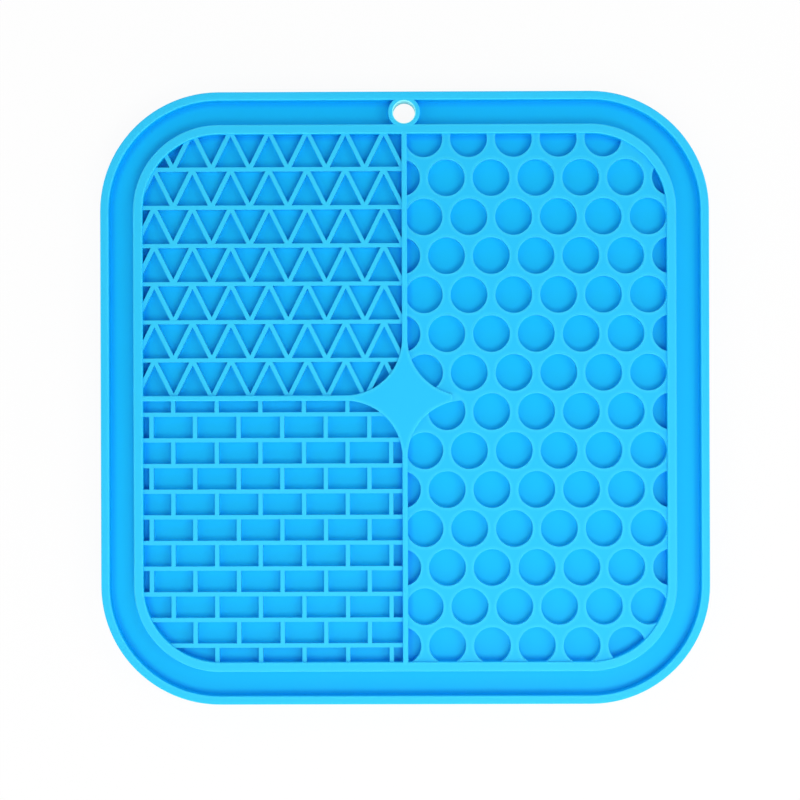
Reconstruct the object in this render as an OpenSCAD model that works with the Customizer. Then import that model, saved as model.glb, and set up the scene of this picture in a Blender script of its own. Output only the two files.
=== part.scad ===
// Silicone lick mat, lying flat with its hanging hole at the back (+Y).
// A thin sheet carries everything: two rims with a spill channel between them, an eyelet,
// three dividers that meet in a star, three feeding textures, and suction cups underneath.
// The real mat is one moulding, so the pieces meet face to face and none of them moves.
// The origin is on the ground, below the middle of the mat.

/* [Mat] */
// Overall width, left to right
mat_w = 200; // [170:1:280]
// Overall length, front to back
mat_l = 201.3; // [170:1:280]
// Radius of the outer corners
corner_r = 39; // [25:0.5:60]
// Thickness of the sheet
sheet_t = 2; // [1.2:0.1:4]

/* [Rims] */
// Height of the rims, eyelet, dividers and star above the sheet
rim_h = 4; // [3.2:0.1:6]
// Width of the outer rim
outer_rim_w = 2.75; // [1.5:0.05:5]
// Width of the inner rim
inner_rim_w = 3.1; // [2:0.05:5]
// Width of the spill channel between the two rims
channel_w = 8; // [6.5:0.1:12]
// Rounding of the top edges of the rims, eyelet and dividers
edge_r = 0.4; // [0.1:0.05:0.55]

/* [Eyelet] */
// Diameter of the hanging hole
hole_d = 7.3; // [4:0.1:9]
// Wall of the tube round the hanging hole
eyelet_wall = 1.6; // [1.2:0.05:2.2]

/* [Dividers and star] */
// Width of the dividers
divider_w = 1.75; // [1.2:0.05:3]
// Reach of the star's points along the dividers
star_reach = 19.5; // [16:0.1:26]
// How much shorter the star's free point on the right is
star_tip_cut = 3.8; // [2.5:0.1:5]
// Rounding of the free point, as a share of the least that needs no shoulder
star_tip_share = 1.15; // [1.05:0.05:1.4]

/* [Textures] */
// Height of the ribs and of the plate with the wells above the sheet
texture_h = 3; // [2:0.1:4]

/* [Zigzag] */
// Width of the straight rails
rail_w = 1.35; // [0.8:0.05:2.5]
// Distance from rail to rail, counted from the middle of the left divider
rail_pitch = 12.56; // [9:0.01:18]
// Width of the slanted struts
strut_w = 1.4; // [0.8:0.05:2.5]
// Distance from one apex to the next in a row
apex_pitch = 12.61; // [9:0.01:18]
// Distance of the first upper apex from the middle of the upper divider
first_apex = 6.75; // [5:0.01:9]

/* [Bricks] */
// Width of the ribs between the bricks
joint_w = 1.4; // [0.8:0.05:2.5]
// Distance from course to course
course_pitch = 8.45; // [6:0.01:14]
// Distance of the first course from the middle of the left divider
first_course = 5.31; // [4:0.01:8]
// Distance from one upright to the next in a course
brick_pitch = 14.35; // [10:0.01:22]
// Distance of the first upright from the middle of the lower divider
first_upright = 4.56; // [3:0.01:7]

/* [Wells] */
// Diameter of the round wells
well_d = 12.1; // [8:0.1:13.4]
// Distance from well to well in a row
well_pitch = 14.74; // [13.6:0.01:20]
// Distance from row to row of wells
well_row_pitch = 12.83; // [12:0.01:18]
// Distance of the first well of the reference row from the middle of the upper divider
first_well_x = 6.45; // [5:0.01:9]
// Height of the reference row above the middle of the left divider
first_well_y = 8.27; // [5:0.01:11]
// Least depth by which a well at the edge of its field still shows
well_least_bite = 1.5; // [1:0.1:2.5]

/* [Suction cups] */
// Suction cups along each side
cup_count = 5; // [3:1:6]
// Diameter of a cup's lip
cup_d = 18; // [12:0.5:22]
// Height of a cup, which is the gap below the sheet
cup_h = 3.5; // [3:0.1:6]
// Diameter of the neck that carries a cup
cup_neck_d = 6; // [4:0.5:8]
// Thickness of a cup's rim where it meets the ground
cup_lip_t = 0.5; // [0.3:0.1:0.8]
// Width of the flat ring that a cup stands on
cup_lip_w = 0.8; // [0.5:0.1:1.5]
// Depth of the hollow that holds the suction
cup_hollow = 1.6; // [1:0.1:2]
// Height of the neck between a cup and the sheet
cup_neck_h = 0.8; // [0.5:0.1:1]
// Distance of the outermost cups' centres from the edge of the mat
cup_margin = 24; // [18:0.5:32]

/* [Hidden] */
$fn = 96;

// Cuts run past the faces that they leave by this much
overrun = 1;

// Levels above the ground
sheet_bottom = cup_h;
sheet_top = sheet_bottom + sheet_t;

// Inner rim, and the feeding field inside it
inner_rim_inset = outer_rim_w + channel_w;
inner_rim_outer_w = mat_w - 2 * inner_rim_inset;
inner_rim_outer_l = mat_l - 2 * inner_rim_inset;
inner_rim_outer_r = corner_r - inner_rim_inset;
field_inset = inner_rim_inset + inner_rim_w;
field_w = mat_w - 2 * field_inset;
field_l = mat_l - 2 * field_inset;
field_r = corner_r - field_inset;

// The eyelet sits in the middle of the channel
eyelet_y = mat_l / 2 - outer_rim_w - channel_w / 2;
eyelet_r = hole_d / 2 + eyelet_wall;

// The star's sides are arcs that leave the dividers at a tangent
divider_half = divider_w / 2;
star_arc_r = star_reach - divider_half;
// The free point ends in a circle, at least as wide as the point is beside the circle's centre
star_tip_reach = star_reach - star_tip_cut;
star_tip_least_r = (star_tip_reach - sqrt(pow(star_tip_reach, 2)
                    - 2 * (pow(star_tip_cut, 2) + pow(star_reach, 2) - pow(star_arc_r, 2)))) / 2;
star_tip_r = star_tip_share * star_tip_least_r;
star_tip_x = star_tip_reach - star_tip_r;

// Rails that fit whole below the inner rim, and apexes along a row
rail_count = floor((field_l / 2 - rail_w / 2) / rail_pitch);
apex_count = ceil((field_w / 2 - first_apex) / apex_pitch) + 1;
strut_run = apex_pitch / 2;
strut_angle = atan2(rail_pitch, strut_run);
strut_len = norm([strut_run, rail_pitch]) + 2 * strut_w;

// Courses that fit whole above the inner rim, and uprights along a course
course_count = floor((field_l / 2 - first_course - joint_w / 2) / course_pitch) + 1;
upright_count = ceil((field_w / 2 - first_upright) / brick_pitch);

// Rows and columns of wells that can reach the field
well_r = well_d / 2;
well_rows_up = ceil((field_l / 2 - first_well_y) / well_row_pitch);
well_rows_down = ceil((field_l / 2 + first_well_y) / well_row_pitch);
well_columns = ceil(field_w / 2 / well_pitch) + 1;

// Suction cups
cup_r = cup_d / 2;
cup_pitch_x = (mat_w - 2 * cup_margin) / (cup_count - 1);
cup_pitch_y = (mat_l - 2 * cup_margin) / (cup_count - 1);
// The hollow is part of a ball that meets the standing ring's inner edge
cup_hollow_r = cup_r - cup_lip_w;
cup_ball_r = (cup_hollow_r * cup_hollow_r + cup_hollow * cup_hollow) / (2 * cup_hollow);

// How far a point lies outside the field's rounded outline, negative inside
function outside_field(p) =
    let (q = [abs(p.x) - field_w / 2 + field_r, abs(p.y) - field_l / 2 + field_r])
    norm([max(q.x, 0), max(q.y, 0)]) + min(max(q.x, q.y), 0) - field_r;

function well_centre(row, column) =
    [first_well_x + well_pitch * (column - (row % 2 == 0 ? 0 : 1 / 2)), first_well_y + well_row_pitch * row];

// A well is cut if enough of it lies in the field and to the right of the dividers
function well_shows(p) =
    outside_field(p) < well_r - well_least_bite && p.x > divider_half + well_least_bite - well_r;

// The plate's corner beside a divider that is nearest to a well
function well_corner(p) = [divider_half, sign(p.y) * field_l / 2];

// A well that runs out through both sides of that corner, but misses the corner itself
function cuts_corner_off(p) =
    let (reach = well_corner(p) - p)
    max(abs(reach.x), abs(reach.y)) < well_r && norm(reach) > well_r;

module rounded_rectangle(w, l, r) {
    square([w - 2 * r, l], center = true);
    square([w, l - 2 * r], center = true);
    for (x = [-1, 1], y = [-1, 1])
        translate([x * (w / 2 - r), y * (l / 2 - r)])
            circle(r);
}

// The square-sided region between two opposite corners, in either order
module region(a, b) {
    translate([min(a.x, b.x), min(a.y, b.y)])
        square([abs(b.x - a.x), abs(b.y - a.y)]);
}

// The part of the feeding field between two corners, less the star
module field_part(low, high) {
    difference() {
        intersection() {
            rounded_rectangle(field_w, field_l, field_r);
            translate(low)
                square(high - low);
        }
        star_outline();
    }
}

module upper_left_field() {
    field_part([-field_w / 2, divider_half], [-divider_half, field_l / 2]);
}

module lower_left_field() {
    field_part([-field_w / 2, -field_l / 2], [-divider_half, -divider_half]);
}

module right_field() {
    field_part([divider_half, -field_l / 2], [field_w / 2, field_l / 2]);
}

// A square with a disc bitten out of each corner, and its right point shortened to a round tip
module star_outline() {
    difference() {
        union() {
            translate([-star_reach, -star_reach])
                square([star_reach + star_tip_x, 2 * star_reach]);
            translate([star_tip_x, 0])
                circle(star_tip_r);
        }
        for (x = [-1, 1], y = [-1, 1])
            translate([x * star_reach, y * star_reach])
                circle(star_arc_r);
    }
}

// Ground beyond the star's round tip, as far as its right point would reach, where no well is cut
module tip_ground() {
    difference() {
        translate([star_tip_x, -star_reach])
            square([star_reach - star_tip_x, 2 * star_reach]);
        translate([star_tip_x, 0])
            circle(star_tip_r);
        for (y = [-1, 1])
            translate([star_reach, y * star_reach])
                circle(star_arc_r);
    }
}

// Section of a wall w wide, with its outer face on the Y axis and both top edges rounded
module wall_section(w) {
    translate([-w, 0])
        square([w, rim_h - edge_r]);
    translate([edge_r - w, 0])
        square([w - 2 * edge_r, rim_h]);
    for (x = [edge_r - w, -edge_r])
        translate([x, rim_h - edge_r])
            circle(edge_r);
}

// The straight sides of a rim whose outer face follows a rounded rectangle
module rim_sides(w, l, r, wall) {
    for (side = [0, 180])
        rotate(side) {
            translate([w / 2, 0, 0])
                rotate([90, 0, 0])
                    linear_extrude(l - 2 * r, center = true)
                        wall_section(wall);
            translate([0, l / 2, 0])
                rotate([90, 0, 90])
                    linear_extrude(w - 2 * r, center = true)
                        wall_section(wall);
        }
}

// The rounded corners of the same rim
module rim_corners(w, l, r, wall) {
    for (side = [0, 180])
        rotate(side) {
            translate([w / 2 - r, l / 2 - r, 0])
                rotate_extrude(angle = 90)
                    translate([r, 0])
                        wall_section(wall);
            translate([r - w / 2, l / 2 - r, 0])
                rotate_extrude(angle = 90, start = 90)
                    translate([r, 0])
                        wall_section(wall);
        }
}

// Room for the eyelet's tube in the rims beside it
module eyelet_seat() {
    translate([0, eyelet_y, -overrun])
        cylinder(h = rim_h + 2 * overrun, r = eyelet_r);
}

// A straight divider along +Y, from the star to the inner rim
module divider(len) {
    translate([divider_half, 0, 0])
        rotate([90, 0, 180])
            mirror([1, 0, 0])
                linear_extrude(len)
                    wall_section(divider_w);
}

// One slanted bar in its cell, cut square to the rails and down the middle of both apexes
module strut(low_x, row, rises) {
    low_y = rail_pitch * row + rail_w / 2;
    high_y = row < rail_count ? rail_pitch * (row + 1) - rail_w / 2 : field_l / 2;
    linear_extrude(texture_h)
        intersection() {
            translate([low_x, low_y])
                square([strut_run, high_y - low_y]);
            translate([low_x + strut_run / 2, rail_pitch * (row + 1 / 2)])
                rotate(rises ? strut_angle : -strut_angle)
                    square([strut_len, strut_w], center = true);
            upper_left_field();
        }
}

module base_sheet() {
    color("deepskyblue")
        translate([0, 0, sheet_bottom])
            linear_extrude(sheet_t)
                difference() {
                    rounded_rectangle(mat_w, mat_l, corner_r);
                    translate([0, eyelet_y])
                        circle(d = hole_d);
                }
}

module outer_rim_sides() {
    color("deepskyblue")
        translate([0, 0, sheet_top])
            difference() {
                rim_sides(mat_w, mat_l, corner_r, outer_rim_w);
                eyelet_seat();
            }
}

module outer_rim_corners() {
    color("deepskyblue")
        translate([0, 0, sheet_top])
            rim_corners(mat_w, mat_l, corner_r, outer_rim_w);
}

module inner_rim_sides() {
    color("deepskyblue")
        translate([0, 0, sheet_top])
            difference() {
                rim_sides(inner_rim_outer_w, inner_rim_outer_l, inner_rim_outer_r, inner_rim_w);
                eyelet_seat();
            }
}

module inner_rim_corners() {
    color("deepskyblue")
        translate([0, 0, sheet_top])
            rim_corners(inner_rim_outer_w, inner_rim_outer_l, inner_rim_outer_r, inner_rim_w);
}

module hanging_eyelet() {
    color("deepskyblue")
        translate([0, eyelet_y, sheet_top])
            rotate_extrude()
                translate([eyelet_r, 0])
                    wall_section(eyelet_wall);
}

module upper_divider() {
    color("deepskyblue")
        translate([0, star_reach, sheet_top])
            divider(field_l / 2 - star_reach);
}

module lower_divider() {
    color("deepskyblue")
        translate([0, -star_reach, sheet_top])
            rotate(180)
                divider(field_l / 2 - star_reach);
}

module left_divider() {
    color("deepskyblue")
        translate([-star_reach, 0, sheet_top])
            rotate(90)
                divider(field_w / 2 - star_reach);
}

module centre_star() {
    color("deepskyblue")
        translate([0, 0, sheet_top])
            linear_extrude(rim_h)
                star_outline();
}

module zigzag_rails() {
    color("deepskyblue")
        translate([0, 0, sheet_top])
            for (row = [1 : rail_count])
                linear_extrude(texture_h)
                    intersection() {
                        translate([-field_w / 2, rail_pitch * row - rail_w / 2])
                            square([field_w / 2, rail_w]);
                        upper_left_field();
                    }
}

module rising_struts() {
    color("deepskyblue")
        translate([0, 0, sheet_top])
            for (row = [0 : rail_count], i = [1 : apex_count])
                strut(strut_run - first_apex - apex_pitch * i, row, true);
}

module falling_struts() {
    color("deepskyblue")
        translate([0, 0, sheet_top])
            for (row = [0 : rail_count], i = [0 : apex_count])
                strut(-first_apex - apex_pitch * i, row, false);
}

module brick_courses() {
    color("deepskyblue")
        translate([0, 0, sheet_top])
            for (row = [0 : course_count - 1])
                linear_extrude(texture_h)
                    intersection() {
                        translate([-field_w / 2, -first_course - course_pitch * row - joint_w / 2])
                            square([field_w / 2, joint_w]);
                        lower_left_field();
                    }
}

// Uprights run from course to course, and step by half a brick from row to row.
// One is left out where the inner rim's corner would leave less of it than its own width.
module brick_uprights() {
    color("deepskyblue")
        translate([0, 0, sheet_top])
            for (row = [0 : course_count], i = [0 : upright_count]) {
                x = -first_upright - brick_pitch * (i + (row % 2 == 0 ? 0 : 1 / 2));
                high_y = row == 0 ? 0 : -first_course - course_pitch * (row - 1) - joint_w / 2;
                low_y = row == course_count ? -field_l / 2 : joint_w / 2 - first_course - course_pitch * row;
                if (outside_field([x, high_y - joint_w]) < 0)
                    linear_extrude(texture_h)
                        intersection() {
                            translate([x - joint_w / 2, low_y])
                                square([joint_w, high_y - low_y]);
                            lower_left_field();
                        }
            }
}

module well_plate() {
    color("deepskyblue")
        translate([0, 0, sheet_top])
            linear_extrude(texture_h) {
                difference() {
                    right_field();
                    for (row = [-well_rows_down : well_rows_up], column = [0 : well_columns]) {
                        centre = well_centre(row, column);
                        if (well_shows(centre))
                            translate(centre)
                                circle(well_r);
                        // The corner goes with the well, so no loose scrap is left
                        if (cuts_corner_off(centre))
                            region(centre, well_corner(centre) + overrun * [-1, sign(centre.y)]);
                    }
                }
                tip_ground();
            }
}

// One cup: a neck, a flaring skirt and a ball-shaped hollow that opens downwards
module cup() {
    rotate_extrude()
        difference() {
            polygon([[0, 0], [cup_r, 0], [cup_r, cup_lip_t], [cup_neck_d / 2, cup_h - cup_neck_h],
                     [cup_neck_d / 2, cup_h], [0, cup_h]]);
            translate([0, cup_hollow - cup_ball_r])
                circle(cup_ball_r);
        }
}

module suction_cups() {
    color("deepskyblue")
        for (i = [0 : cup_count - 1], j = [0 : cup_count - 1])
            translate([cup_margin - mat_w / 2 + cup_pitch_x * i, cup_margin - mat_l / 2 + cup_pitch_y * j, 0])
                cup();
}

base_sheet();
outer_rim_sides();
outer_rim_corners();
inner_rim_sides();
inner_rim_corners();
hanging_eyelet();
upper_divider();
lower_divider();
left_divider();
centre_star();
zigzag_rails();
rising_struts();
falling_struts();
brick_courses();
brick_uprights();
well_plate();
suction_cups();
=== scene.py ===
# %% [markdown]
# # A silicone lick mat
# The real mat is one compression moulding: a steel mould with engraved pockets presses a sheet of
# blue silicone into rims, ribs and wells, all in one shot. Here the CAD model gives the frame, and
# every feature gets a piece of its own with the small rounds and fillets that a mould leaves.
# Everything is in metres. The origin lies on the ground below the middle of the mat, +Y points to
# the hanging hole and +X to the half with the round wells.

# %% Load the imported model
import math

import bmesh
import bpy
from mathutils import Matrix, Vector
from mathutils.geometry import intersect_sphere_sphere_2d


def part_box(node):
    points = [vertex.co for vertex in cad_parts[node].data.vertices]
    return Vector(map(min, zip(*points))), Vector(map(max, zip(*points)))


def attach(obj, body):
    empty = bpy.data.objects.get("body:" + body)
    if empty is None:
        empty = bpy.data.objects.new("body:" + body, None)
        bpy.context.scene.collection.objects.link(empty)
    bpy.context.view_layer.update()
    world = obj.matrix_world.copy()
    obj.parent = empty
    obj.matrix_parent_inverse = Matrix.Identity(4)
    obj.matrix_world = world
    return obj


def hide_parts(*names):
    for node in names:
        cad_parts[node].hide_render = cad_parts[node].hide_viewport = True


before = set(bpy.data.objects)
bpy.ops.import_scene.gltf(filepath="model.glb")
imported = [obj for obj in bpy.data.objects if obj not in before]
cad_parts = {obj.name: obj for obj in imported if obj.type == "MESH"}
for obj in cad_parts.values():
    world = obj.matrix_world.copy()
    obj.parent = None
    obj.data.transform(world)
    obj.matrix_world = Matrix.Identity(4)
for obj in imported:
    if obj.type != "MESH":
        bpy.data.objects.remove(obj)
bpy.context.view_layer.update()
print("CAD nodes:", ", ".join(sorted(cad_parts)))

# %% [markdown]
# ## Levels and widths
# The heights are read from the boxes of the CAD nodes, so the pieces can't drift away from the
# solids that they dress. The widths are those of the real mat.

# %% Measure the frame
mm = 0.001
sheet_low, sheet_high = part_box("base_sheet")
half_w, half_l, sheet_top = sheet_high
sheet_bottom = sheet_low[2]
texture_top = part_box("well_plate")[1][2]
rim_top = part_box("outer_rim_sides")[1][2]
eyelet_low, eyelet_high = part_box("hanging_eyelet")
eyelet_r = (eyelet_high[0] - eyelet_low[0]) / 2
eyelet_y = (eyelet_high[1] + eyelet_low[1]) / 2
print(f"mat {2 * half_w / mm:.1f} x {2 * half_l / mm:.1f} mm; sheet top {sheet_top / mm:.2f},"
      f" textures {texture_top / mm:.2f}, rims {rim_top / mm:.2f} mm above the ground")

# %% Widths of the walls
corner_r = 39 * mm
outer_wall = 2.75 * mm
channel = 8 * mm
inner_wall = 3.1 * mm
inner_inset = outer_wall + channel
field_inset = inner_inset + inner_wall
field_half_w = half_w - field_inset
field_half_l = half_l - field_inset
divider_half = 0.875 * mm
hole_r = 3.65 * mm
star_reach = 19.5 * mm
star_tip = 15.7 * mm
edge_round = 0.4 * mm
foot = 0.1 * mm
highlight_band = 0.95 * mm
print(f"feeding field {2 * field_half_w / mm:.1f} x {2 * field_half_l / mm:.1f} mm")

# %% [markdown]
# ## One way to draw a rounded rectangle
# A loop of the mat's outline is a single square face whose four corners are bevelled to arcs.
# Every outline of the mat is the same shape at another inset, so all loops get equal numbers of
# points, and two neighbours can be bridged without a twist. A circle needs no bevel, because an
# operator draws it at once.

# %% Rounded loops
corner_steps = 24
circle_steps = 64


def round_corners(bm, verts, radius, steps):
    """Turns corners of a flat face into arcs."""
    return bmesh.ops.bevel(bm, geom=verts, offset=radius, offset_type="OFFSET", segments=steps,
                           profile=0.5, affect="VERTICES", clamp_overlap=False,
                           material=-1)["verts"]


def rounded_face(bm, inset, z):
    """A flat rounded rectangle, inset from the mat's outline, as one face."""
    verts = bmesh.ops.create_grid(bm, x_segments=1, y_segments=1, size=1)["verts"]
    bmesh.ops.scale(bm, verts=verts, vec=(half_w - inset, half_l - inset, 1))
    bmesh.ops.translate(bm, verts=verts, vec=(0, 0, z))
    return round_corners(bm, verts, corner_r - inset, corner_steps)[0].link_faces[0]


def open_loop(bm, face):
    """Drops a face but keeps its edges."""
    edges = list(face.edges)
    bmesh.ops.delete(bm, geom=[face], context="FACES_ONLY")
    return edges


def rounded_loop(bm, inset, z):
    return open_loop(bm, rounded_face(bm, inset, z))


print("a rounded loop has", 4 * (corner_steps + 1), "points")


# %% Circles
def edges_of(verts):
    """The edges that meet some points, each one once."""
    return list(dict.fromkeys(edge for vert in verts for edge in vert.link_edges))


def circle_loop(bm, radius, z, centre):
    verts = bmesh.ops.create_circle(bm, cap_ends=False, radius=radius, segments=circle_steps,
                                    matrix=Matrix.Translation((*centre, z)))["verts"]
    return edges_of(verts)


print("a circle has", circle_steps, "points")

# %% [markdown]
# ## Rounds and fillets
# A mould can't have knife edges, and silicone would tear at them. Each top edge is rounded, and
# each foot runs into the floor with a small fillet. One bevel operator makes both, because it
# rounds a hollow edge just as it rounds an outer one.
#
# A ring is bridged as a tall stack of loops, one metre apart, because two loops in one plane give
# the bridge no sense of direction. Then each loop sinks to its true height.

# %% Bevel helper
round_steps = 4


def round_off(bm, edges, radius, steps=round_steps):
    """Turns edges into rounds or fillets."""
    bmesh.ops.recalc_face_normals(bm, faces=bm.faces)
    bmesh.ops.bevel(bm, geom=list(edges), offset=radius, offset_type="OFFSET", segments=steps,
                    profile=0.5, affect="EDGES", clamp_overlap=True, material=-1)


def closed_ring(bm, draw_loop, section):
    """Bridges loops to a closed ring. A row of the section says size, height and round."""
    loops = [draw_loop(bm, row[0], number) for number, row in enumerate(section)]
    for here, there in zip(loops, loops[1:] + loops[:1]):
        bmesh.ops.bridge_loops(bm, edges=here + there)
    for loop, (_, height, _) in zip(loops, section):
        for edge in loop:
            for vert in edge.verts:
                vert.co.z = height
    for loop, (_, _, radius) in zip(loops, section):
        if radius:
            round_off(bm, loop, radius)


print("a round of", edge_round / mm, "mm has", round_steps, "steps")

# %% [markdown]
# ## Finish of a piece
# A finished piece is a closed mesh with its faces outwards. It is shaded smooth, and its normals
# are weighted by area, so the large flat faces stay flat and all of the turn falls on the small
# faces of a round. Every point also gets a number for the painted highlight. It is 1 along the top
# edges of the raised features, where a paler colour is painted for the light that leaks through
# thin silicone, and 0 elsewhere; the faces between blend it. The wall of the hanging hole is thin,
# so it has a finish of its own with a still paler painted glow. The piece rides on the one body of
# the mat and stands for its CAD nodes.

# %% The three finishes and the painted highlight
silicone = bpy.data.materials.new("satin_silicone")
underside = bpy.data.materials.new("polished_silicone")
painted_glow_finish = bpy.data.materials.new("thin_silicone_painted_glow")
hair = 0.01 * mm  # points this close count as level or as one
# The painted highlight reaches this far down from a top.
highlight_depth = 0.35 * mm


def on_top(point):
    """True on the flat top and the round of a rim or rib, false on its walls."""
    top = rim_top if point.z > texture_top + hair else texture_top
    return point.z > top - highlight_depth


def all_highlit(point):
    """The painted highlight's value on a narrow rib or wall, which is painted paler all over its
    top.
    """
    return 1


print("finishes:", silicone.name, underside.name, painted_glow_finish.name)

# %% Piece helper
weld = 0.001 * mm
painted_glow_reach = 0.2 * mm
sharp_angle = math.radians(35)


def finish_piece(name, bm, nodes, material=silicone, lip=None):
    """Closes and shades a piece and lets it stand for its CAD nodes."""
    bmesh.ops.remove_doubles(bm, verts=bm.verts, dist=weld)
    bmesh.ops.recalc_face_normals(bm, faces=bm.faces)
    open_edges = sum(not edge.is_manifold for edge in bm.edges)
    # Faces at the hanging hole take the finish with the painted glow.
    for face in bm.faces:
        from_axis = (face.calc_center_median().xy - Vector((0, eyelet_y))).length
        face.material_index = int(from_axis < hole_r + painted_glow_reach)
    mesh = bpy.data.meshes.new(name)
    bm.to_mesh(mesh)
    bm.free()
    mesh.materials.append(material)
    mesh.materials.append(painted_glow_finish)
    # Each point stores its share of the painted highlight.
    if lip:
        values = [lip(vert.co) if on_top(vert.co) else 0 for vert in mesh.vertices]
        mesh.attributes.new("lip", "FLOAT", "POINT").data.foreach_set("value", values)
    mesh.shade_smooth()
    mesh.set_sharp_from_angle(angle=sharp_angle)
    piece = bpy.data.objects.new(name, mesh)
    weighted = piece.modifiers.new("weighted_normals", "WEIGHTED_NORMAL")
    weighted.keep_sharp = True
    bpy.context.scene.collection.objects.link(piece)
    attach(piece, "root")
    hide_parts(*nodes)
    print(f"{name}: {len(mesh.polygons)} faces, {open_edges} open edges")


# %% [markdown]
# ## The sheet
# The sheet is the floor of the spill channel. Under the feeding field it has a shallow seat, in
# which the three textured tiles lie, so that no two floors share a plane. Its outline is filled
# between three loops: the outer edge, the seat and the hanging hole.

# %% Sheet with a seat for the tiles
tuck = 1.5 * mm
seat_inset = field_inset - tuck
seat_depth = 1 * mm
sheet_edge = 0.5 * mm
sheet_edge_steps = 3
hole_centre = (0, eyelet_y)

bm = bmesh.new()
outline_top = rounded_loop(bm, 0, sheet_top)
outline_bottom = rounded_loop(bm, 0, sheet_bottom)
hole_top = circle_loop(bm, hole_r, sheet_top, hole_centre)
hole_bottom = circle_loop(bm, hole_r, sheet_bottom, hole_centre)
seat_top = rounded_loop(bm, seat_inset, sheet_top)
seat_floor = rounded_face(bm, seat_inset, sheet_top - seat_depth)
bmesh.ops.triangle_fill(bm, use_beauty=True, edges=outline_top + hole_top + seat_top)
bmesh.ops.triangle_fill(bm, use_beauty=True, edges=outline_bottom + hole_bottom)
bmesh.ops.bridge_loops(bm, edges=outline_top + outline_bottom)
bmesh.ops.bridge_loops(bm, edges=hole_top + hole_bottom)
bmesh.ops.bridge_loops(bm, edges=seat_top + list(seat_floor.edges))
round_off(bm, outline_bottom + hole_bottom, sheet_edge, sheet_edge_steps)
finish_piece("base_sheet", bm, ["base_sheet"])

# %% [markdown]
# ## The two rims
# Each rim is a low wall that follows the outline. Its section is a stack of loops: up one side,
# across the flat top and down the other, with a foot that widens where it meets the sheet. The
# outer rim has no foot outside, because its outer face runs straight into the edge of the sheet.
# One more loop on the top marks how far the painted highlight reaches from an edge. The flat
# between gets a little of the painted highlight too, because a rim is narrow.

# %% Distances on a rim
# The flat top of a rim keeps this share of the painted highlight.
rim_flat_highlight = 0.5


def inset_of(point):
    """How far a point lies inside the mat's outline."""
    q = Vector((abs(point.x) - half_w + corner_r, abs(point.y) - half_l + corner_r))
    return corner_r - Vector((max(q.x, 0), max(q.y, 0))).length - min(max(q.x, q.y), 0)


def near_edge(distance, band=highlight_band, edge=edge_round, least=0.0):
    """The painted highlight's value: 1 on the round of an edge, then falling over the band to the
    least.
    """
    return min(max(1 - (distance - edge) / (band - edge), least), 1)


def outer_highlight(point):
    return near_edge(outer_wall - inset_of(point), least=rim_flat_highlight)


def inner_highlight(point):
    inset = inset_of(point)
    return near_edge(min(inset - inner_inset, field_inset - inset), least=rim_flat_highlight)


print("the lip is", near_edge(0), "at an edge,", near_edge(highlight_band), "after", highlight_band / mm, "mm")

# %% Outer and inner rim
bm = bmesh.new()
outer_section = [(0, sheet_top, 0), (0, rim_top, edge_round), (outer_wall - highlight_band, rim_top, 0),
                 (outer_wall, rim_top, edge_round), (outer_wall, sheet_top + foot, foot),
                 (outer_wall + foot, sheet_top, 0)]
closed_ring(bm, rounded_loop, outer_section)
finish_piece("outer_rim", bm, ["outer_rim_sides", "outer_rim_corners"], lip=outer_highlight)

bm = bmesh.new()
inner_section = [(inner_inset - foot, sheet_top, 0), (inner_inset, sheet_top + foot, foot),
                 (inner_inset, rim_top, edge_round), (inner_inset + highlight_band, rim_top, 0),
                 (field_inset - highlight_band, rim_top, 0), (field_inset, rim_top, edge_round),
                 (field_inset, sheet_top + foot, foot), (field_inset + foot, sheet_top, 0)]
closed_ring(bm, rounded_loop, inner_section)
finish_piece("inner_rim", bm, ["inner_rim_sides", "inner_rim_corners"], lip=inner_highlight)

# %% [markdown]
# ## The eyelet
# The hanging hole runs through a short tube that stands in the channel and is as high as the rims.
# The tube is a stack of circles. Two cuts stop it where the flat tops of the rims begin, so that
# the three tops meet along a line and read as one surface. Straight cuts are made by upright
# planes: a plane scores the faces that it meets, and can clear away what lies beyond it.

# %% Cutting helpers
cut_gap = 0.0001 * mm


def everything(bm, faces=None):
    """The geometry of some faces, or of the whole mesh, as operators want it."""
    if faces is None:
        return bm.verts[:] + bm.edges[:] + bm.faces[:]
    verts = dict.fromkeys(vert for face in faces for vert in face.verts)
    edges = dict.fromkeys(edge for face in faces for edge in face.edges)
    return list(verts) + list(edges) + list(faces)


def score(bm, point, normal, faces=None, clear=False):
    """Cuts faces along an upright plane. Clearing drops what lies on the normal's side."""
    return bmesh.ops.bisect_plane(bm, geom=everything(bm, faces), clear_outer=clear, dist=cut_gap,
                                  plane_co=(point[0], point[1], sheet_top),
                                  plane_no=(normal[0], normal[1], 0))["geom_cut"]


def cut_off(bm, point, outwards):
    """Clears what lies beyond a plane and closes the cut."""
    cut = score(bm, point, outwards, clear=True)
    border = [item for item in cut if isinstance(item, bmesh.types.BMEdge)]
    bmesh.ops.contextual_create(bm, geom=border)


trial = bmesh.new()
rounded_face(trial, 0, sheet_top)
score(trial, (0, 0), (1, 0))
print("a scored outline has", len(trial.faces), "faces")
trial.free()

# %% Eyelet
bm = bmesh.new()
tube_section = [(hole_r, sheet_top, 0), (hole_r, rim_top, edge_round),
                (eyelet_r, rim_top, edge_round), (eyelet_r, sheet_top + foot, foot),
                (eyelet_r + foot, sheet_top, 0)]
closed_ring(bm, lambda bm, radius, z: circle_loop(bm, radius, z, hole_centre), tube_section)
tube_end = channel / 2 + edge_round
cut_off(bm, (0, eyelet_y + tube_end), (0, 1))
cut_off(bm, (0, eyelet_y - tube_end), (0, -1))
finish_piece("hanging_eyelet", bm, ["hanging_eyelet"], lip=all_highlit)

# %% [markdown]
# ## The dividers
# Three straight walls part the feeding field. Each one is a thin bar that starts at a point of the
# star and ends inside the inner rim, just where the flat top of the rim begins. Its section is
# drawn as a face and pulled along the bar, and then its long edges are rounded.

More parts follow.
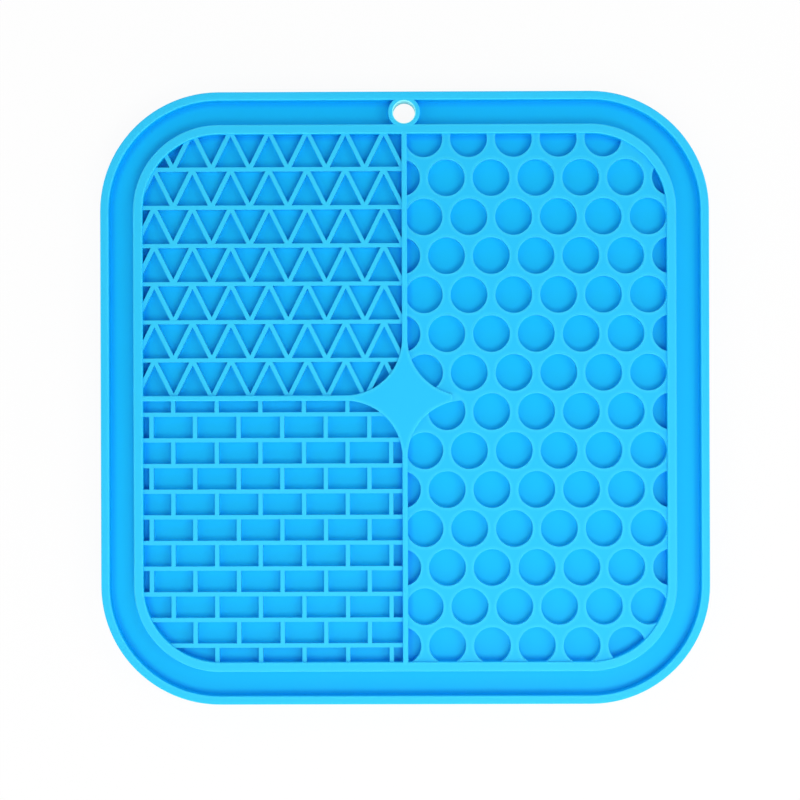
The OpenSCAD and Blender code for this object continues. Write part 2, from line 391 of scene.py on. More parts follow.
# %% Pulling and picking
def pull(bm, faces, vec, keep=False):
    """Extrudes faces in one go and moves them by a vector."""
    pulled = bmesh.ops.extrude_face_region(bm, geom=faces, use_keep_orig=keep)["geom"]
    verts = [item for item in pulled if isinstance(item, bmesh.types.BMVert)]
    bmesh.ops.translate(bm, verts=verts, vec=vec)


def at_height(item, height):
    """True for an edge or face that lies flat at a height."""
    return all(abs(vert.co.z - height) < hair for vert in item.verts)


trial = bmesh.new()
pull(trial, [rounded_face(trial, 0, sheet_bottom)], (0, 0, sheet_top - sheet_bottom))
print("a pulled outline has", sum(at_height(face, sheet_top) for face in trial.faces), "flat top")
trial.free()


# %% Dividers
def raised_bar(name, start, end):
    """A bar with rounded top edges and a widened foot, along X or Y."""
    bm = bmesh.new()
    start = Vector(start)
    along = Vector(end) - start
    side = Vector((-along.y, along.x)).normalized() * divider_half
    wide = side * (1 + foot / divider_half)
    section = [(start + wide, sheet_top), (start + side, sheet_top + foot), (start + side, rim_top),
               (start - side, rim_top), (start - side, sheet_top + foot), (start - wide, sheet_top)]
    end_face = bm.faces.new([bm.verts.new((point.x, point.y, z)) for point, z in section])
    pull(bm, [end_face], (along.x, along.y, 0))
    for height, radius in ((rim_top, edge_round), (sheet_top + foot, foot)):
        round_off(bm, [edge for edge in bm.edges if at_height(edge, height)
                       and edge.calc_length() > along.length / 2], radius)
    finish_piece(name, bm, [name], lip=all_highlit)


divider_end_x = field_half_w + edge_round
divider_end_y = field_half_l + edge_round
raised_bar("upper_divider", (0, star_reach), (0, divider_end_y))
raised_bar("lower_divider", (0, -star_reach), (0, -divider_end_y))
raised_bar("left_divider", (-star_reach, 0), (-divider_end_x, 0))

# %% [markdown]
# ## The centre star
# The star is a square with a disc bitten out of each corner. A vertex that is spun about each of
# the four corners draws the arcs, short edges join them where the dividers begin, and the outline
# is filled. The right point is free: it is cut short and its two corners are rounded.

# %% Outline of the star
star_arc = star_reach - divider_half
arc_steps = 32


def star_face(bm, z, inside=0.0):
    """The outline of the full star, drawn as far inside its arcs as told, as one face."""
    before = set(bm.verts)
    radius = star_arc + inside
    lift = math.acos(min(star_reach / radius, 1))
    spoke = Vector((radius * math.cos(lift), radius * math.sin(lift), 0))
    for quarter in range(4):
        turn = Matrix.Rotation(quarter * math.pi / 2, 3, "Z")
        centre = turn @ Vector((star_reach, star_reach, 0)) + Vector((0, 0, z))
        start = bm.verts.new(centre - turn @ spoke)
        bmesh.ops.spin(bm, geom=[start], cent=centre, axis=(0, 0, 1),
                       angle=math.pi / 2 - 2 * lift, steps=arc_steps)
    drawn = [vert for vert in bm.verts if vert not in before]
    bmesh.ops.remove_doubles(bm, verts=drawn, dist=hair)
    outline = [vert for vert in bm.verts if vert not in before]
    ends = [vert for vert in outline if len(vert.link_edges) == 1]
    for vert in ends:
        partner = min((other for other in ends if other is not vert),
                      key=lambda other: (other.co - vert.co).length)
        if not bm.edges.get((vert, partner)):
            bm.edges.new((vert, partner))
    return bmesh.ops.contextual_create(bm, geom=edges_of(outline))["faces"][0]


trial = bmesh.new()
print("the star's outline has", len(star_face(trial, sheet_top).verts), "points")
trial.free()

# %% Raise the star
tip_round = 0.8 * mm
tip_steps = 6
joints = [Vector((-star_reach, 0)), Vector((0, star_reach)), Vector((0, -star_reach))]


def middle_of(edge):
    return (edge.verts[0].co + edge.verts[1].co) / 2


def at_joint(edge):
    """True for a short end of the star, where a divider begins."""
    return any((middle_of(edge).xy - joint).length < hair for joint in joints)


bm = bmesh.new()
score(bm, (star_tip, 0), (1, 0), [star_face(bm, sheet_top)], clear=True)
tip = [vert for vert in bm.verts if vert.co.x > star_tip - hair]
round_corners(bm, tip, tip_round, tip_steps)
pull(bm, bm.faces[:], (0, 0, rim_top - sheet_top))
round_off(bm, [edge for edge in bm.edges if at_height(edge, rim_top) and not at_joint(edge)],
          edge_round)
print(f"the star reaches {star_tip / mm:.1f} mm to the right, {star_reach / mm:.1f} mm elsewhere")

# %% [markdown]
# A band along the arcs of the star's top gets the painted highlight. A second, smaller star inside
# the first marks where the band ends, and the flat between the two outlines is filled again.

# %% The star's band of painted highlight
star_highlight_band = 1.2 * mm


def largest_top(bm):
    """The largest of the faces on the level of the rims' tops."""
    tops = [face for face in bm.faces if at_height(face, rim_top)]
    return max(tops, key=lambda face: face.calc_area())


def star_highlight(point):
    """The painted highlight's value on the star."""
    corner = Vector((star_reach - abs(point.x), star_reach - abs(point.y)))
    return near_edge(min(corner.length - star_arc, star_tip - point.x), star_highlight_band)


border = open_loop(bm, largest_top(bm))
smaller = star_face(bm, rim_top, star_highlight_band)
score(bm, (star_tip - star_highlight_band, 0), (1, 0), [smaller], clear=True)
bmesh.ops.triangle_fill(bm, use_beauty=True, edges=border + list(largest_top(bm).edges))
finish_piece("centre_star", bm, ["centre_star"], lip=star_highlight)

# %% [markdown]
# ## How the textured tiles are made
# Each tile starts as the flat outline of its part of the field, tucked a little way under the
# walls around it. Planes cut this face along both sides of every rib, as a knife would score a
# sheet. The faces that lie between the two sides of a rib are then pulled up, all in one extrude,
# so every junction is clean. Last, the top edges and the feet are rounded.

# %% Tile helpers
def left_quarter(towards):
    """The left quarter of the field on the side +1 or -1 of Y, as one flat face."""
    bm = bmesh.new()
    rounded_face(bm, seat_inset, sheet_top)
    score(bm, (0, 0), (1, 0), clear=True)
    score(bm, (0, 0), (0, -towards), clear=True)
    return bm


def score_rib(bm, point, normal, half, row=None):
    """Scores both sides of a straight rib, through the whole tile or between two levels of Y."""
    for side in (-half, half):
        faces = None
        if row:
            faces = [face for face in bm.faces if row[0] < face.calc_center_median().y < row[1]]
        score(bm, Vector(point) + Vector(normal) * side, normal, faces)


def outside_field(point):
    """How far a point lies outside the rounded outline of the field, negative inside."""
    return field_inset - inset_of(point)


print(f"the middle lies {-outside_field(Vector((0, 0))) / mm:.1f} mm inside the field's border")

# %% Raising the scored faces
rib_round = 0.4 * mm
rib_foot = 0.2 * mm
border_gap = 0.05 * mm
flat_normal = 0.9
raised_mark = 1


def is_rib_edge(edge):
    """True for an edge between a wall and a flat face, away from the tile's hidden border."""
    flat = [abs(face.normal.z) > flat_normal for face in edge.link_faces]
    middle = middle_of(edge)
    in_sight = outside_field(middle) < tuck - border_gap and abs(middle.x) > border_gap
    return len(flat) == 2 and flat[0] != flat[1] and in_sight


def raise_tile(name, bm, is_raised, nodes, mouth=rib_round, floor=rib_foot, lip=all_highlit):
    """Gives the tile its thickness, pulls up the raised faces and rounds their edges."""
    for face in bm.faces:
        if is_raised(face):
            face.material_index = raised_mark
    pull(bm, bm.faces[:], (0, 0, -seat_depth), keep=True)
    raised = [face for face in bm.faces
              if face.material_index == raised_mark and at_height(face, sheet_top)]
    pull(bm, raised, (0, 0, texture_top - sheet_top))
    bmesh.ops.delete(bm, geom=[face for face in raised if face.is_valid], context="FACES")
    bmesh.ops.recalc_face_normals(bm, faces=bm.faces)
    for height, radius in ((texture_top, mouth), (sheet_top, floor)):
        level = [edge for edge in bm.edges if at_height(edge, height) and is_rib_edge(edge)]
        round_off(bm, level, radius)
    finish_piece(name, bm, nodes, lip=lip)


# %% [markdown]
# ## The zigzag tile
# Straight rails cross the upper left quarter, and slanted struts run from rail to rail like the
# web of a girder. The struts of one row don't line up with those of the next, so each row is
# scored by itself.

# %% Zigzag ribs
rail_half = 0.675 * mm
strut_half = 0.7 * mm
rail_pitch = 12.56 * mm
rail_count = 6
apex_pitch = 12.61 * mm
first_apex = 6.75 * mm
apex_count = 8

bm = left_quarter(1)
rails = [number * rail_pitch for number in range(1, rail_count + 1)]
for rail in rails:
    score_rib(bm, (0, rail), (0, 1), rail_half)

strut = Vector((apex_pitch / 2, rail_pitch)).normalized()
struts = []
for number in range(rail_count + 1):
    low = number * rail_pitch + (rail_half if number else 0)
    high = (number + 1) * rail_pitch - rail_half if number < rail_count else half_l
    for apex in range(-1, apex_count):
        top = Vector((-first_apex - apex * apex_pitch, (number + 1) * rail_pitch))
        for lean in (-1, 1):
            normal = Vector((strut.y, -lean * strut.x))
            struts.append((low, high, top, normal))
            score_rib(bm, top, normal, strut_half, (low, high))


def on_zigzag(face):
    middle = face.calc_center_median().xy
    return (any(abs(middle.y - rail) < rail_half for rail in rails)
            or any(low < middle.y < high and abs((middle - top).dot(normal)) < strut_half
                   for low, high, top, normal in struts))


raise_tile("zigzag_ribs", bm, on_zigzag, ["zigzag_rails", "rising_struts", "falling_struts"])

# %% [markdown]
# ## The brick tile
# The lower left quarter is laid like a wall: long straight ribs for the courses, and short
# uprights that step by half a brick from one course to the next.

# %% Brick ribs
joint_half = 0.7 * mm
course_pitch = 8.45 * mm
first_course = 5.31 * mm
course_count = 10
brick_pitch = 14.35 * mm
brick_count = 7
first_upright = 4.56 * mm

bm = left_quarter(-1)
courses = [-first_course - number * course_pitch for number in range(course_count)]
for course in courses:
    score_rib(bm, (0, course), (0, 1), joint_half)

uprights = []
for number in range(course_count + 1):
    high = courses[number - 1] - joint_half if number else 0
    low = courses[number] + joint_half if number < course_count else -half_l
    for brick in range(brick_count):
        x = -first_upright - brick_pitch * (brick + (number % 2) / 2)
        if outside_field(Vector((x, high - 2 * joint_half))) < 0:
            uprights.append((low, high, x))
            score_rib(bm, (x, 0), (1, 0), joint_half, (low, high))


def on_bricks(face):
    middle = face.calc_center_median()
    return (any(abs(middle.y - course) < joint_half for course in courses)
            or any(low < middle.y < high and abs(middle.x - x) < joint_half
                   for low, high, x in uprights))


raise_tile("brick_ribs", bm, on_bricks, ["brick_courses", "brick_uprights"])

# %% [markdown]
# ## The plate with the round wells
# The right half is a plate with rows of round wells, packed as close as coins. Each well is drawn
# as two circles, the mouth and a guard ring just outside it. The plate is filled between the guard
# rings, and the narrow band of four-sided faces beside each mouth gives the bevel clean ground.
# The mouth is bridged to its ring from one metre above, as the loops of the rims were.

# %% Centres of the wells
well_r = 6.05 * mm
guard_r = 7.3 * mm
well_pitch = 14.74 * mm
well_row = 12.83 * mm
first_well = Vector((6.45 * mm, 8.27 * mm))
least_bite = 1.5 * mm
well_rows = range(-8, 8)
well_columns = range(8)

wells = []
for row in well_rows:
    for column in well_columns:
        centre = first_well + Vector((well_pitch * (column - (row % 2) / 2), well_row * row))
        inside_rim = outside_field(centre) < well_r - least_bite
        if inside_rim and centre.x > divider_half + least_bite - well_r:
            wells.append(centre)
whole = [centre for centre in wells if outside_field(centre) < -well_r
         and centre.x > divider_half + well_r]
print(len(wells), "wells,", len(wells) - len(whole), "of them cut by a rim or divider")

# %% Plate with open wells
plate_mark = 0
well_mark = 2
bridge_height = 1

bm = bmesh.new()
verts = bmesh.ops.create_grid(bm, x_segments=1, y_segments=1, size=half_l)["verts"]
bmesh.ops.translate(bm, verts=verts, vec=(0, 0, sheet_top))
plate_edges = open_loop(bm, verts[0].link_faces[0])
guards = [circle_loop(bm, guard_r, sheet_top, centre) for centre in wells]
bmesh.ops.triangle_fill(bm, use_beauty=True, edges=sum(guards, plate_edges))
for centre, guard in zip(wells, guards):
    mouth = bmesh.ops.create_circle(bm, cap_ends=True, radius=well_r, segments=circle_steps,
                                    matrix=Matrix.Translation((*centre, bridge_height)))["verts"]
    floor = mouth[0].link_faces[0]
    floor.material_index = well_mark
    for face in bmesh.ops.bridge_loops(bm, edges=guard + list(floor.edges))["faces"]:
        face.material_index = plate_mark
    for vert in mouth:
        vert.co.z = sheet_top
print("the plate has", len(bm.faces), "faces before it is trimmed")

# %% [markdown]
# Beside the star's free point one well keeps clear of the whole star, as if the point were not cut
# short. Its disc is split with a knife along the arc of the full star, and the part beyond the arc
# becomes plate again.

# %% The well beside the star's tip
arc_centre = Vector((star_reach, -star_reach))
arc_clearance = 0.03 * mm
arc_r = star_arc + arc_clearance
below_tip = Vector((star_tip, -5 * mm))
beyond_arc = 3 * mm
knife_steps = 16

clipped = min(wells, key=lambda centre: (centre - below_tip).length)
disc = min((face for face in bm.faces if face.material_index == well_mark),
           key=lambda face: (face.calc_center_median().xy - clipped).length)
crossings = sorted(intersect_sphere_sphere_2d(clipped, well_r, arc_centre, arc_r),
                   key=lambda point: point.x)
ends = []
for crossing in crossings:
    corner = min(disc.verts, key=lambda vert: (vert.co.xy - crossing).length)
    corner.co.xy = crossing
    ends.append(corner)
from_angle, to_angle = (math.atan2(*(crossing - arc_centre).yx) for crossing in crossings)
knife = []
for step in range(1, knife_steps):
    angle = from_angle + (to_angle - from_angle) * step / knife_steps
    cut = arc_centre + arc_r * Vector((math.cos(angle), math.sin(angle)))
    knife.append((cut.x, cut.y, sheet_top))
bmesh.utils.face_split(disc, ends[0], ends[1], coords=knife)
for face in list(ends[0].link_faces):
    is_well = face.material_index == well_mark
    if is_well and face.calc_center_median().y > clipped.y + beyond_arc:
        face.material_index = plate_mark
print(f"cut the well at {clipped.x / mm:.1f}, {clipped.y / mm:.1f} mm along the star's arc")

# %% [markdown]
# So far the plate is a square that reaches past its half of the field. One plane for each edge of
# the seat's outline cuts it to size, wells and all. A mouth gets the painted highlight up to its
# guard ring.

# %% Trim the plate and raise it
mouth_round = 0.45 * mm
well_floor_round = 0.6 * mm

score(bm, (0, 0), (-1, 0), clear=True)
outline = bmesh.new()
for edge in list(rounded_face(outline, seat_inset, sheet_top).edges):
    along = (edge.verts[1].co - edge.verts[0].co).xy.normalized()
    outwards = Vector((along.y, -along.x))
    if outwards.dot(middle_of(edge).xy) < 0:
        outwards.negate()
    score(bm, middle_of(edge), outwards, clear=True)
outline.free()


def well_highlight(point):
    """The painted highlight's value on the plate: paler beside a well's mouth."""
    from_mouth = min((point.xy - centre).length for centre in wells) - well_r
    return near_edge(from_mouth, guard_r - well_r, mouth_round)


raise_tile("well_plate", bm, lambda face: face.material_index != well_mark, ["well_plate"],
           mouth=mouth_round, floor=well_floor_round, lip=well_highlight)

# %% [markdown]
# ## Suction cups
# Underneath, twenty-five cups hold the mat to the floor. A cup is turned on a lathe: a few points
# give half of its section, and one spin makes the solid. The hollow is an arc, which is itself a
# vertex that has been spun.

# %% One cup, spun
cup_r = 9 * mm
neck_r = 3 * mm
neck_h = 0.8 * mm
lip_t = 0.5 * mm
lip_w = 0.8 * mm
hollow_h = 1.6 * mm
hollow_r = cup_r - lip_w
ball_r = (hollow_r ** 2 + hollow_h ** 2) / (2 * hollow_h)
hollow_steps = 8
cup_steps = 48

cup = bmesh.new()
apex = cup.verts.new((0, 0, hollow_h))
bmesh.ops.spin(cup, geom=[apex], cent=(0, 0, hollow_h - ball_r), axis=(0, 1, 0),
               angle=math.asin(hollow_r / ball_r), steps=hollow_steps)
chain = [max(cup.verts, key=lambda vert: vert.co.x)]
for x, z in ((cup_r, 0), (cup_r, lip_t), (neck_r, sheet_bottom - neck_h), (neck_r, sheet_bottom),
             (0, sheet_bottom)):
    chain.append(cup.verts.new((x, 0, z)))
    cup.edges.new(chain[-2:])
bmesh.ops.spin(cup, geom=cup.verts[:] + cup.edges[:], cent=(0, 0, 0), axis=(0, 0, 1),
               angle=2 * math.pi, steps=cup_steps, use_merge=True)
bmesh.ops.remove_doubles(cup, verts=cup.verts, dist=hair)
print("a cup has", len(cup.faces), "faces before its edges are rounded")

# %% Round the cup
cup_round = 0.2 * mm
cup_round_steps = 2
neck_round = 0.6 * mm


def circle_at(bm, radius, z):
    """The edges of a turned piece that run round its axis at one radius and height."""
    return [edge for edge in bm.edges if at_height(edge, z)
            and all(abs(vert.co.xy.length - radius) < hair for vert in edge.verts)]


round_off(cup, circle_at(cup, cup_r, 0) + circle_at(cup, cup_r, lip_t), cup_round, cup_round_steps)
round_off(cup, circle_at(cup, neck_r, sheet_bottom - neck_h), neck_round)
print("and", len(cup.faces), "after it")

# %% The grid of cups
cup_count = 5
cup_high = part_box("suction_cups")[1]
span_x = (cup_high[0] - cup_r) * 2
span_y = (cup_high[1] - cup_r) * 2

bm = bmesh.new()
cup_mesh = bpy.data.meshes.new("one_cup")
cup.to_mesh(cup_mesh)
cup.free()
for column in range(cup_count):
    for row in range(cup_count):
        before = len(bm.verts)
        bm.from_mesh(cup_mesh)
        bm.verts.ensure_lookup_table()
        x, y = span_x * (column / (cup_count - 1) - 0.5), span_y * (row / (cup_count - 1) - 0.5)
        bmesh.ops.translate(bm, verts=bm.verts[before:], vec=(x, y, 0))
bpy.data.meshes.remove(cup_mesh)
finish_piece("suction_cups", bm, ["suction_cups"], underside)

# %% [markdown]
# ## The silicone
# Silicone from such a mould is a strong azure with a satin skin. Light that enters a thin rib
# leaves it again, so the ribs and rims look lighter, and the floors look deeper and more
# saturated. The upright walls send least light upwards and look deepest, and so do the floors
# close beside the tall rims and dividers. All of this light and shade is painted into the colour:
# one node group gives every finish painted tints by height, by slope and by the distance from the
# tall walls, and also its faint unevenness and its fine skin, all from Object coordinates.

# %% Node helpers
skin = bpy.data.node_groups.new("silicone_skin", "ShaderNodeTree")


def feed(tree, value, socket):
    """Links a socket to another one, or sets its number."""
    if isinstance(value, bpy.types.NodeSocket):
        tree.links.new(value, socket)
    else:
        socket.default_value = value


def math_node(tree, operation, *values):
    node = tree.nodes.new("ShaderNodeMath")
    node.operation = operation
    for socket, value in zip(node.inputs, values):
        feed(tree, value, socket)
    return node.outputs[0]


def vector_node(tree, operation, *values):
    node = tree.nodes.new("ShaderNodeVectorMath")
    node.operation = operation
    for socket, value in zip(node.inputs, values):
        feed(tree, value, socket)
    return node.outputs["Value" if operation == "LENGTH" else "Vector"]


print("made the node group", skin.name)


# %% Helpers for masks and tints
def split_vector(tree, vector):
    node = tree.nodes.new("ShaderNodeSeparateXYZ")
    tree.links.new(vector, node.inputs[0])
    return node.outputs


def map_range(tree, value, start, end, interpolation="SMOOTHSTEP"):
    """A mask that rises from 0 to 1 as a value goes from the start to the end."""
    node = tree.nodes.new("ShaderNodeMapRange")
    node.interpolation_type = interpolation
    for label, number in (("Value", value), ("From Min", start), ("From Max", end)):
        feed(tree, number, node.inputs[label])
    return node.outputs["Result"]


def mix_colors(tree, factor, first, second):
    node = tree.nodes.new("ShaderNodeMix")
    node.data_type = "RGBA"
    for socket, value in zip((node.inputs["Factor"], *node.inputs[6:8]), (factor, first, second)):
        tree.links.new(value, socket)
    return node.outputs[2]


print(skin.name, "starts with", len(skin.nodes), "nodes")

# %% Skin group
# Besides the top colour, these colours are painted highlight and painted shade.
any_azure = (0.01, 0.5, 0.95, 1)
for label, value in (("Lip", 0.0), ("Top Color", any_azure), ("Lip Color", any_azure),
                     ("Deep Color", any_azure), ("Shaded Color", any_azure),
                     ("Wall Color", any_azure), ("Deep Level", sheet_top),
                     ("Top Level", texture_top), ("Roughness", 0.45), ("Unevenness", 0.03)):
    kind = "NodeSocketColor" if value is any_azure else "NodeSocketFloat"
    socket = skin.interface.new_socket(label, in_out="INPUT", socket_type=kind)
    socket.default_value = value
for label, kind in (("Color", "NodeSocketColor"), ("Roughness", "NodeSocketFloat"),
                    ("Height", "NodeSocketFloat")):
    skin.interface.new_socket(label, in_out="OUTPUT", socket_type=kind)
skin_in = skin.nodes.new("NodeGroupInput").outputs
skin_out = skin.nodes.new("NodeGroupOutput").inputs
place = skin.nodes.new("ShaderNodeTexCoord").outputs["Object"]
print(skin.name, "takes", ", ".join(socket.name for socket in skin_in if socket.name))

# %% Distance from the outline, in nodes
folded = vector_node(skin, "MULTIPLY", vector_node(skin, "ABSOLUTE", place), (1, 1, 0))
corner = vector_node(skin, "SUBTRACT", folded, (half_w - corner_r, half_l - corner_r, 0))
beyond = vector_node(skin, "LENGTH", vector_node(skin, "MAXIMUM", corner, (0, 0, 0)))
sides = split_vector(skin, corner)
within = math_node(skin, "MINIMUM", math_node(skin, "MAXIMUM", sides["X"], sides["Y"]), 0.0)
inset = math_node(skin, "SUBTRACT", corner_r, math_node(skin, "ADD", beyond, within))
print("the distance from the outline takes", len(skin.nodes) - 3, "nodes")

# %% [markdown]
# Shade is painted on the floors beside the tall walls: the inner faces of both rims and the sides
# of the upper and lower divider. A divider counts only inside the field, because it ends at the
# inner rim.

# %% Distance from the tall walls, in nodes
shade_reach = 2.35 * mm
shade_full = 0.3 * mm


def away_from(distance, face):
    return math_node(skin, "ABSOLUTE", math_node(skin, "SUBTRACT", distance, face))


from_divider = math_node(skin, "MAXIMUM", away_from(split_vector(skin, folded)["X"], divider_half),
                         math_node(skin, "SUBTRACT", field_inset, inset))
from_rim = math_node(skin, "MINIMUM", away_from(inset, outer_wall), away_from(inset, field_inset))
from_wall = math_node(skin, "MINIMUM", from_rim, from_divider)
# The painted shade on a floor is full close to a wall and fades out at the reach.
painted_floor_shade = map_range(skin, from_wall, shade_reach, shade_full)
print("floors are shaded up to", shade_reach / mm, "mm from a tall wall")

# %% [markdown]
# The tints lie over one another like glazes: the floor's painted deeper tint, the painted shade
# beside the tall walls, the tint of the tops by height, the painted shade of the walls by slope
# and last the painted highlight of the top edges.

# %% Tints of painted light and shade
# Upright faces get painted shade, which begins as the normal's upward part falls below the first
# value and is full at the second.
slope_start = 0.75
slope_full = 0.15

height = map_range(skin, split_vector(skin, place)["Z"], skin_in["Deep Level"],
                   skin_in["Top Level"], "LINEAR")
facing = skin.nodes.new("ShaderNodeNewGeometry").outputs["Normal"]
upright = math_node(skin, "ABSOLUTE", split_vector(skin, facing)["Z"])
painted_wall_shade = map_range(skin, upright, slope_start, slope_full)
tint = mix_colors(skin, painted_floor_shade, skin_in["Deep Color"], skin_in["Shaded Color"])
tint = mix_colors(skin, height, tint, skin_in["Top Color"])
tint = mix_colors(skin, painted_wall_shade, tint, skin_in["Wall Color"])
tint = mix_colors(skin, skin_in["Lip"], tint, skin_in["Lip Color"])
print(f"walls take their tint from {math.degrees(math.acos(slope_start)):.0f} degrees of slope on")

# %% [markdown]
# No moulding is quite even. A slow noise drifts the tint and the gloss a little, and a very fine
# one gives the skin the grain of the blasted mould.

# %% Unevenness and grain
cloud_scale = 45
grain_scale = 2600
gloss_drift = 0.25


def noise(scale, detail):
    node = skin.nodes.new("ShaderNodeTexNoise")
    node.inputs["Scale"].default_value = scale
    node.inputs["Detail"].default_value = detail
    skin.links.new(place, node.inputs["Vector"])
    return node.outputs["Fac"]


drift = math_node(skin, "SUBTRACT", noise(cloud_scale, detail=4), 0.5)
scaled = vector_node(skin, "SCALE", tint)
feed(skin, math_node(skin, "MULTIPLY_ADD", drift, skin_in["Unevenness"], 1.0),
     scaled.node.inputs["Scale"])
skin.links.new(scaled, skin_out["Color"])
worn = math_node(skin, "MULTIPLY", drift, gloss_drift)
skin.links.new(math_node(skin, "ADD", skin_in["Roughness"], worn), skin_out["Roughness"])
skin.links.new(noise(grain_scale, detail=2), skin_out["Height"])
print(skin.name, "has", len(skin.nodes), "nodes")

# %% [markdown]
# The three finishes share the skin. The upper side is satin, the cups underneath are polished so
# that they seal, and the wall of the hanging hole is so thin that light makes it much paler, which
# its finish shows as a painted glow.

# %% Finishes
# The painted deeper tint of the floors, as they look in shade, is full this far below the tops.
deep_below = 1.2 * mm
grain_depth = 0.02 * mm
silicone_ior = 1.41
specular_level = 0.23


def finish_silicone(material, roughness, bump, **colors):
    """Puts the skin on a material, with its own tints of colour and of painted light and shade, its
    roughness and the strength of its grain.
    """
    material.use_nodes = True
    tree = material.node_tree
    shader = tree.nodes["Principled BSDF"]
    group = tree.nodes.new("ShaderNodeGroup")
    group.node_tree = skin
    # This attribute tells the skin where the painted highlight goes.
    lip = tree.nodes.new("ShaderNodeAttribute")
    lip.attribute_name = "lip"
    tree.links.new(lip.outputs["Fac"], group.inputs["Lip"])
    for label, color in colors.items():
        group.inputs[f"{label.title()} Color"].default_value = (*color, 1)
    group.inputs["Deep Level"].default_value = texture_top - deep_below
    group.inputs["Top Level"].default_value = texture_top
    group.inputs["Roughness"].default_value = roughness
    relief = tree.nodes.new("ShaderNodeBump")
    relief.inputs["Strength"].default_value = bump
    relief.inputs["Distance"].default_value = grain_depth
    tree.links.new(group.outputs["Color"], shader.inputs["Base Color"])
    tree.links.new(group.outputs["Roughness"], shader.inputs["Roughness"])
    tree.links.new(group.outputs["Height"], relief.inputs["Height"])
    tree.links.new(relief.outputs["Normal"], shader.inputs["Normal"])
    shader.inputs["IOR"].default_value = silicone_ior
    shader.inputs["Specular IOR Level"].default_value = specular_level
    print(material.name, "has roughness", roughness)


# Besides the top, these tints are painted light and shade: a pale highlight on the top edges,
# deeper floors, shade beside the tall walls and shade on the upright walls.
azure = {"top": (0.019, 0.545, 0.945), "lip": (0.034, 0.6, 0.945), "deep": (0.004, 0.58, 1.0),
         "shaded": (0.0, 0.445, 0.97), "wall": (0.0, 0.46, 0.88)}
# The wall of the hanging hole is painted a pale glow in every tint, for the light that shows
# through it.
painted_glow_azure = (0.3, 0.92, 1.0)
finish_silicone(silicone, roughness=0.5, bump=0.3, **azure)
finish_silicone(underside, roughness=0.3, bump=0.1, **azure)
finish_silicone(painted_glow_finish, roughness=0.5, bump=0.3, **dict.fromkeys(azure, painted_glow_azure))

# %% [markdown]
# ## Floor, light and camera
# The mat lies on a plain white floor. Soft lamps stand in front, on the right and on the left, as
# the darker walls of the wells tell. The white world glows more near the horizon than overhead, as
# it does under a camera that hangs above the table: so the floors get a soft darkness towards
# their walls, and little gloss. The paper shows almost pure white to the camera and in gloss, but
# lights the mat only as paper does, and it keeps the mat's shadow.

# %% Floor
floor_half = 3
paper_white = 0.92
paper_glow = 0.93

floor_mesh = bpy.data.meshes.new("floor")
bm = bmesh.new()
bmesh.ops.create_grid(bm, x_segments=1, y_segments=1, size=floor_half)
bm.to_mesh(floor_mesh)
bm.free()
floor = bpy.data.objects.new("floor", floor_mesh)
bpy.context.scene.collection.objects.link(floor)
print("the floor is", 2 * floor_half, "m wide")

# %% Paper
paper = bpy.data.materials.new("white_paper")
paper.use_nodes = True
tree = paper.node_tree
tree.nodes.clear()
output = tree.nodes.new("ShaderNodeOutputMaterial")
white = tree.nodes.new("ShaderNodeEmission")
matte = tree.nodes.new("ShaderNodeBsdfDiffuse")
matte.inputs["Color"].default_value = (paper_white, paper_white, paper_white, 1)
rays = tree.nodes.new("ShaderNodeLightPath").outputs
blend = tree.nodes.new("ShaderNodeMixShader")
seen = math_node(tree, "ADD", rays["Is Camera Ray"], rays["Is Glossy Ray"])
seen = math_node(tree, "ADD", seen, rays["Is Transmission Ray"])
share = math_node(tree, "MULTIPLY", math_node(tree, "MINIMUM", seen, 1.0), paper_glow)
tree.links.new(share, blend.inputs["Fac"])
tree.links.new(matte.outputs[0], blend.inputs[1])
tree.links.new(white.outputs[0], blend.inputs[2])
tree.links.new(blend.outputs[0], output.inputs["Surface"])
floor_mesh.materials.append(paper)
print(paper.name, "glows for the camera with a share of", paper_glow)


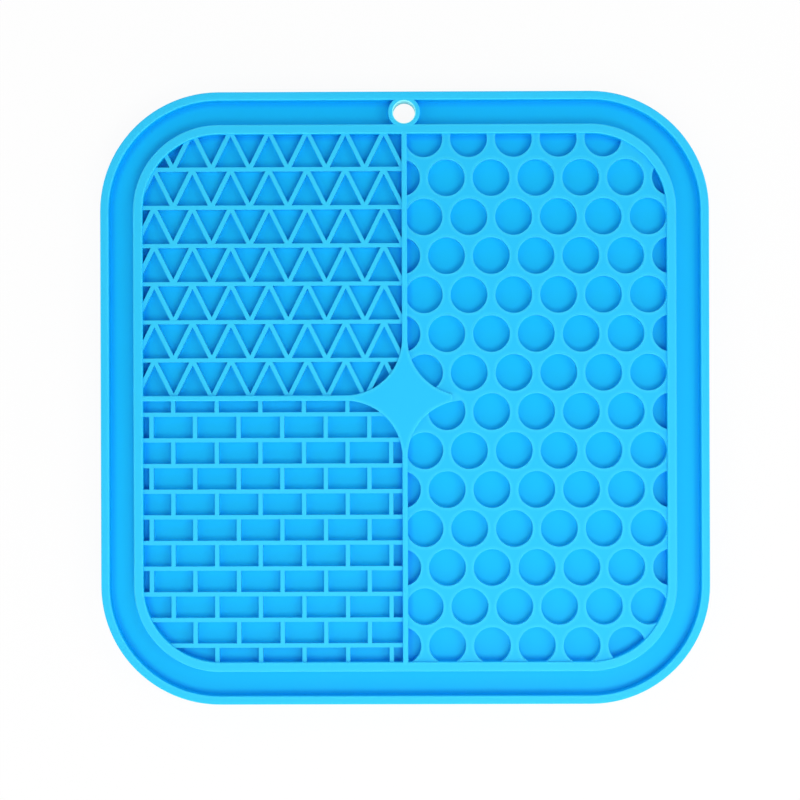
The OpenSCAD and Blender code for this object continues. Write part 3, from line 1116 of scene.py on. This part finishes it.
# %% Light
def area_lamp(name, spot, size, power):
    """A round soft lamp that points at the middle of the mat."""
    data = bpy.data.lights.new(name, "AREA")
    data.shape = "DISK"
    data.size = size
    data.energy = power
    lamp = bpy.data.objects.new(name, data)
    lamp.location = spot
    lamp.rotation_euler = (-Vector(spot)).to_track_quat("-Z", "Y").to_euler()
    bpy.context.scene.collection.objects.link(lamp)
    print(f"lamp {name}: {Vector(spot).length:.2f} m away, {power} W")


area_lamp("front_high", (0.08, -0.32, 0.6), size=0.3, power=1.2)
area_lamp("front_low", (0, -0.5, 0.24), size=0.35, power=0.62)
area_lamp("right", (0.5, 0, 0.6), size=0.4, power=1.2)
area_lamp("left", (-0.5, 0, 0.6), size=0.4, power=0.44)

# %% World
overhead_glow = 0.25
horizon_glow = 1.95
glow_falloff = 2.0

world = bpy.data.worlds.new("studio")
bpy.context.scene.world = world
world.use_nodes = True
tree = world.node_tree
sky = tree.nodes["Background"].inputs
sky["Color"].default_value = (1, 1, 1, 1)
direction = tree.nodes.new("ShaderNodeTexCoord").outputs["Generated"]
upwards = math_node(tree, "MAXIMUM", split_vector(tree, direction)["Z"], 0.0)
lowness = math_node(tree, "POWER", math_node(tree, "SUBTRACT", 1.0, upwards), glow_falloff)
glow = math_node(tree, "MULTIPLY_ADD", lowness, horizon_glow, overhead_glow)
tree.links.new(glow, sky["Strength"])
print("the world glows with", overhead_glow, "overhead and", overhead_glow + horizon_glow,
      "at the horizon")

# %% [markdown]
# The camera hangs above the middle of the mat, so far away that the walls near the border lean
# just as much as they do in the picture. It stands a little off the middle and is turned by a
# fraction of a degree, as a real camera is.

# %% Camera
tilt = math.radians(0.3)
turn = math.radians(-0.178)
distance = 0.571
aim_x = -0.0016
aim_y = -0.0007

camera_data = bpy.data.cameras.new("camera")
camera_data.sensor_width = 36
camera_data.lens = 78.27
camera_data.clip_end = 10
camera = bpy.data.objects.new("camera", camera_data)
camera.location = (aim_x + distance * math.sin(tilt), aim_y, rim_top + distance)
camera.rotation_euler = (0, tilt, turn)
bpy.context.scene.collection.objects.link(camera)
bpy.context.scene.camera = camera
bpy.context.scene.view_settings.view_transform = "Standard"
print("the camera hangs", distance, "m above the rims")
